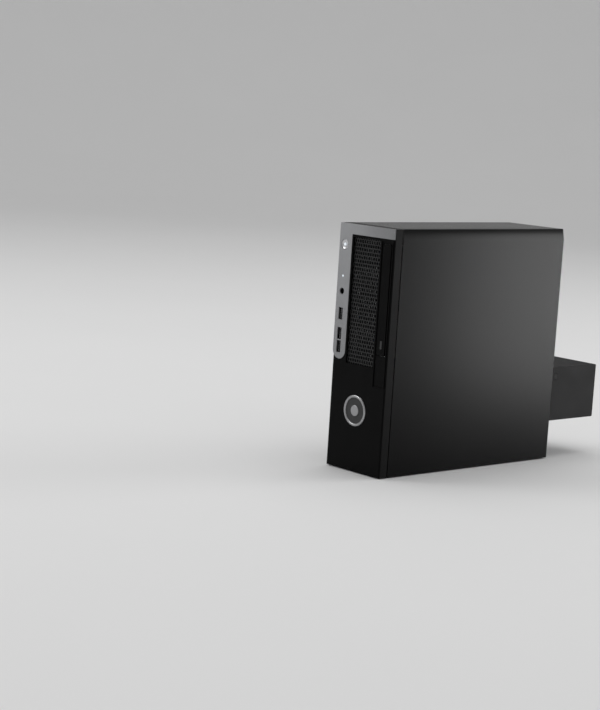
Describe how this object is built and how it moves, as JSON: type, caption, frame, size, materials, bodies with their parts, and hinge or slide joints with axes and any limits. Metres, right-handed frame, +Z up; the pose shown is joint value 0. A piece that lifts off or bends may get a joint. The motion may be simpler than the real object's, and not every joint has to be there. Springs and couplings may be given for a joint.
{
  "type": "small desktop computer",
  "caption": "Upright slim desktop computer with silver port strip, mesh grille, slim disc drive, sliding side cover and a clip-on rear cable hood.",
  "frame": {"origin": "bottom centre of the whole object, on the plane of the rubber feet", "axes": "+Z up, front face towards -Y, removable side cover towards +X"},
  "size_m": [0.0926, 0.38, 0.29],
  "materials": {
    "bezel_plastic": "fine-grained satin black moulding",
    "grille_plastic": "satin black open mesh",
    "trim_silver": "satin silver paint with fine metallic flake",
    "badge_metal": "satin plated ring and disc",
    "button_silver": "silver plated plastic",
    "clear_lens": "frosted light guide",
    "cover_paint": "fine textured black powder coat",
    "sheet_steel": "zinc coated sheet",
    "black_plastic": "moulded black",
    "hood_plastic": "spark-eroded black moulding",
    "port_metal": "nickel plated shell",
    "contact_plastic": "moulded insert",
    "circuit_board": "green solder mask",
    "ssd_board": "blue solder mask with black chips",
    "supply_board": "tan board with coils and capacitors",
    "heatsink_metal": "extruded, fine lines",
    "fan_plastic": "glass-filled black",
    "drive_metal": "cast and machined",
    "caddy_plastic": "blue touch-point plastic",
    "latch_plastic": "blue touch-point plastic",
    "socket_plastic": "moulded socket",
    "pale_plastic": "pale latch plastic",
    "brass_post": "turned post",
    "screw_steel": "zinc plated screw",
    "cell_steel": "bright can",
    "audio_plastic": "green moulded socket",
    "foot_rubber": "matte rubber"
  },
  "bodies": {
    "chassis": {"headset_jack": "contact_plastic", "front_usb_shells": "port_metal", "usb_tongues": "contact_plastic", "front_io_board": "circuit_board", "power_switch": "black_plastic", "speaker": "black_plastic", "chassis_base": "cover_paint", "chassis_front_panel": "sheet_steel", "chassis_rear_panel": "sheet_steel", "chassis_top_wall": "cover_paint", "chassis_bottom_wall": "cover_paint", "bottom_feet": "foot_rubber", "side_feet": "foot_rubber", "padlock_loop": "screw_steel", "cable_cover_bracket": "sheet_steel", "motherboard": "circuit_board", "board_standoffs": "brass_post", "board_screws": "screw_steel", "cpu_socket": "socket_plastic", "cpu_package": "cell_steel", "cpu_heatsink": "heatsink_metal", "cpu_fan_frame": "fan_plastic", "memory_sockets": "socket_plastic", "memory_modules": "circuit_board", "ssd_module": "ssd_board", "coin_cell": "cell_steel", "chipset_heatsink": "heatsink_metal", "board_connectors": "socket_plastic", "slot_blanks": "sheet_steel", "network_jack": "port_metal", "display_ports": "port_metal", "rear_usb_shells": "port_metal", "rear_audio_jack": "audio_plastic", "power_supply_case": "sheet_steel", "power_supply_board": "supply_board", "power_supply_fan_frame": "fan_plastic", "ac_inlet": "black_plastic", "ac_inlet_pins": "port_metal", "optical_drive_shell": "sheet_steel", "hard_drive": "drive_metal", "drive_caddy": "caddy_plastic", "drive_cage": "sheet_steel"},
    "bezel": {"front_bezel": "bezel_plastic", "silver_trim": "trim_silver", "front_grille": "grille_plastic", "drive_led": "clear_lens"},
    "badge": {"front_badge": "badge_metal"},
    "power_button": {"power_button": "button_silver", "power_led": "clear_lens"},
    "side_cover": {"side_cover": "cover_paint"},
    "cover_latch": {"cover_latch": "latch_plastic"},
    "cable_cover": {"cable_cover": "hood_plastic"},
    "cable_cover_screw": {"cable_cover_screw": "black_plastic"},
    "cpu_fan": {"cpu_fan_rotor": "fan_plastic"},
    "supply_fan": {"power_supply_fan_rotor": "fan_plastic"},
    "memory_latch_front": {"memory_latch_front": "pale_plastic"},
    "memory_latch_rear": {"memory_latch_rear": "pale_plastic"},
    "disc_tray": {"disc_tray": "bezel_plastic"},
    "disc_hub": {"disc_hub": "screw_steel"},
    "eject_button": {"eject_button": "black_plastic"}
  },
  "joints": [
    {"name": "bezel_swing", "type": "hinge", "parent": "chassis", "child": "bezel", "pos_m": [-0.0442, -0.177, 0.145], "axis": [0, 0, -1], "range_deg": [0, 35]},
    {"name": "badge_turn", "type": "hinge", "parent": "bezel", "child": "badge", "pos_m": [-0.002, -0.1892, 0.073], "axis": [0, 1, 0], "range_deg": [0, 90]},
    {"name": "power_button_press", "type": "slide", "parent": "bezel", "child": "power_button", "axis": [0, 1, 0], "range_m": [0, 0.0012], "stiffness_N_per_m": 1200, "springref_m": -0.0004},
    {"name": "tray_slide", "type": "slide", "parent": "chassis", "child": "disc_tray", "axis": [0, -1, 0], "range_m": [0, 0.118]},
    {"name": "hub_spin", "type": "hinge", "parent": "disc_tray", "child": "disc_hub", "pos_m": [0.0347, -0.118, 0.2075], "axis": [1, 0, 0], "continuous": true},
    {"name": "eject_press", "type": "slide", "parent": "disc_tray", "child": "eject_button", "axis": [0, 1, 0], "range_m": [0, 0.0008], "stiffness_N_per_m": 600, "springref_m": -0.0004},
    {"name": "cover_slide", "type": "slide", "parent": "chassis", "child": "side_cover", "axis": [0, 1, 0], "range_m": [0, 0.012]},
    {"name": "latch_slide", "type": "slide", "parent": "chassis", "child": "cover_latch", "axis": [-1, 0, 0], "range_m": [0, 0.006], "stiffness_N_per_m": 200, "springref_m": -0.002},
    {"name": "cable_cover_pull", "type": "slide", "parent": "chassis", "child": "cable_cover", "axis": [0, 1, 0], "range_m": [0, 0.02]},
    {"name": "cable_screw_turn", "type": "hinge", "parent": "cable_cover", "child": "cable_cover_screw", "pos_m": [0.044, 0.11, 0.104], "axis": [1, 0, 0], "continuous": true},
    {"name": "cpu_fan_spin", "type": "hinge", "parent": "chassis", "child": "cpu_fan", "pos_m": [0.003, 0.028, 0.16], "axis": [1, 0, 0], "continuous": true},
    {"name": "supply_fan_spin", "type": "hinge", "parent": "chassis", "child": "supply_fan", "pos_m": [0.016, 0.092, 0.037], "axis": [0, 1, 0], "continuous": true},
    {"name": "memory_latch_front_swing", "type": "hinge", "parent": "chassis", "child": "memory_latch_front", "pos_m": [-0.0303, -0.0815, 0.094], "axis": [0, 0, -1], "range_deg": [0, 30]},
    {"name": "memory_latch_rear_swing", "type": "hinge", "parent": "chassis", "child": "memory_latch_rear", "pos_m": [-0.0303, -0.0815, 0.1045], "axis": [0, 0, -1], "range_deg": [0, 30]}
  ]
}
